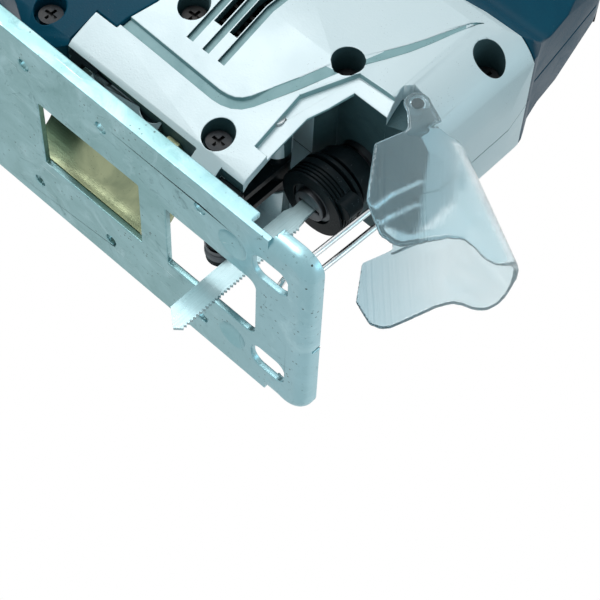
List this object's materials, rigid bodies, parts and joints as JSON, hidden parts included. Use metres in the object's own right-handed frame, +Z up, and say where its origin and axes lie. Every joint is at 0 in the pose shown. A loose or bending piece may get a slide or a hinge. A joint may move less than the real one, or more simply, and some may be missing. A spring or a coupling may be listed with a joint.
{
  "type": "jigsaw",
  "caption": "Hand-held jigsaw with a D-shaped handle, tilting sole plate, cast gear covers, clamped saw blade, roller guide, wire guard and swing-up clear chip hood.",
  "frame": {"origin": "on the underside of the sole plate, under the middle of the blade", "axes": "+X forward along the cut, +Y to the tool's left, +Z up from the sole"},
  "size_m": [0.2628, 0.082, 0.2134],
  "materials": {
    "cast_alloy": "fine shot-blasted casting with a satin sheen",
    "blue_shell": "fine-textured glass-filled plastic",
    "grip": "soft moulded grip",
    "dark_screw": "blackened steel",
    "lamination": "stacked laminations",
    "copper_wire": "enamelled copper",
    "bronze": "sintered bronze",
    "carbon": "pressed carbon",
    "bright_steel": "ground bright",
    "dark_steel": "oiled dark steel",
    "gear_alloy": "as cast",
    "zinc_sheet": "mottled bright zinc with scratches",
    "yellow_zinc": "yellow passivated zinc",
    "blade_steel": "ground high-speed steel",
    "black_nylon": "moulded black nylon",
    "clear_hood": "clear polycarbonate, edges slightly bright"
  },
  "bodies": {
    "housing": {"gear_cover_right": "cast_alloy", "gear_cover_left": "cast_alloy", "motor_housing_right": "blue_shell", "motor_housing_left": "blue_shell", "grip_pad": "grip", "cover_screws": "dark_screw", "housing_screws": "dark_screw", "vent_mesh": "dark_screw", "stator_core": "lamination", "field_windings": "copper_wire", "brush_holders": "bronze", "carbon_brushes": "carbon", "rear_bearing": "bright_steel", "front_bearing": "bright_steel", "gearbox_plate": "gear_alloy", "gear_shaft": "bright_steel", "lower_bush": "bronze", "upper_bush": "bronze", "cradle_seat": "gear_alloy", "clamp_bolt": "yellow_zinc", "clamp_washer": "yellow_zinc", "stop_bolts": "yellow_zinc", "stop_screws": "bright_steel", "guide_bracket": "black_nylon", "wire_guard": "bright_steel", "hood_pins": "clear_hood", "fork_pin": "bright_steel", "switch_module": "black_nylon", "wheel_axle": "bright_steel", "cord_gland": "grip"},
    "base": {"base_plate": "zinc_sheet", "cradle_arch": "yellow_zinc"},
    "armature": {"armature_shaft": "bright_steel", "armature_core": "lamination", "armature_windings": "copper_wire", "commutator": "copper_wire", "fan": "black_nylon", "pinion": "bright_steel"},
    "gear": {"drive_gear": "dark_steel", "crank_pin": "bright_steel", "balance_weight": "bronze"},
    "plunger": {"plunger_rod": "bright_steel", "yoke": "dark_steel", "clamp_body": "dark_steel", "clamp_collar": "black_nylon", "saw_blade": "blade_steel"},
    "sleeve": {"clamp_sleeve": "black_nylon"},
    "fork": {"roller_fork": "black_nylon", "roller_axle": "bright_steel"},
    "roller": {"support_roller": "bright_steel"},
    "hood": {"chip_hood": "clear_hood"},
    "trigger": {"trigger": "black_nylon"},
    "lock_button": {"lock_button": "black_nylon"},
    "speed_wheel": {"speed_wheel": "black_nylon"},
    "selector": {"orbit_selector": "black_nylon"},
    "blower": {"blower_slider": "black_nylon"}
  },
  "joints": [
    {"name": "bevel", "type": "hinge", "parent": "housing", "child": "base", "pos_m": [0, 0, 0], "axis": [1, 0, 0], "range_deg": [-45, 45]},
    {"name": "armature_spin", "type": "hinge", "parent": "housing", "child": "armature", "pos_m": [-0.1, 0, 0.0631], "axis": [1, 0, 0], "continuous": true},
    {"name": "gear_spin", "type": "hinge", "parent": "housing", "child": "gear", "pos_m": [-0.0185, 0, 0.0855], "axis": [1, 0, 0], "continuous": true},
    {"name": "blade_stroke", "type": "slide", "parent": "housing", "child": "plunger", "axis": [0, 0, -1], "range_m": [0, 0.02]},
    {"name": "clamp_twist", "type": "hinge", "parent": "plunger", "child": "sleeve", "pos_m": [0, 0, 0.043], "axis": [0, 0, -1], "range_deg": [0, 60], "stiffness_Nm_per_rad": 0.06, "springref_deg": -11.46},
    {"name": "orbit_swing", "type": "hinge", "parent": "housing", "child": "fork", "pos_m": [-0.0182, 0, 0.043], "axis": [0, 1, 0], "range_deg": [0, 3]},
    {"name": "roller_spin", "type": "hinge", "parent": "fork", "child": "roller", "pos_m": [-0.0093, 0, 0.0095], "axis": [0, 1, 0], "continuous": true},
    {"name": "hood_swing", "type": "hinge", "parent": "housing", "child": "hood", "pos_m": [0.0125, 0, 0.0708], "axis": [0, 1, 0], "range_deg": [0, 67]},
    {"name": "trigger_press", "type": "slide", "parent": "housing", "child": "trigger", "axis": [0, 0, 1], "range_m": [0, 0.006], "stiffness_N_per_m": 500, "springref_m": -0.002},
    {"name": "lock_press", "type": "slide", "parent": "housing", "child": "lock_button", "axis": [0, -1, 0], "range_m": [0, 0.0025], "stiffness_N_per_m": 300, "springref_m": -0.001},
    {"name": "speed_turn", "type": "hinge", "parent": "housing", "child": "speed_wheel", "pos_m": [-0.0045, 0, 0.1765], "axis": [0, 1, 0], "range_deg": [-130, 130]},
    {"name": "orbit_select", "type": "hinge", "parent": "housing", "child": "selector", "pos_m": [-0.03, 0.028, 0.042], "axis": [0, 1, 0], "range_deg": [-40, 40]},
    {"name": "blower_slide", "type": "slide", "parent": "housing", "child": "blower", "axis": [1, 0, 0], "range_m": [0, 0.004]}
  ],
  "couplings": [
    {"joint": "gear_spin", "follows": "armature_spin", "ratio": -0.21739}
  ]
}
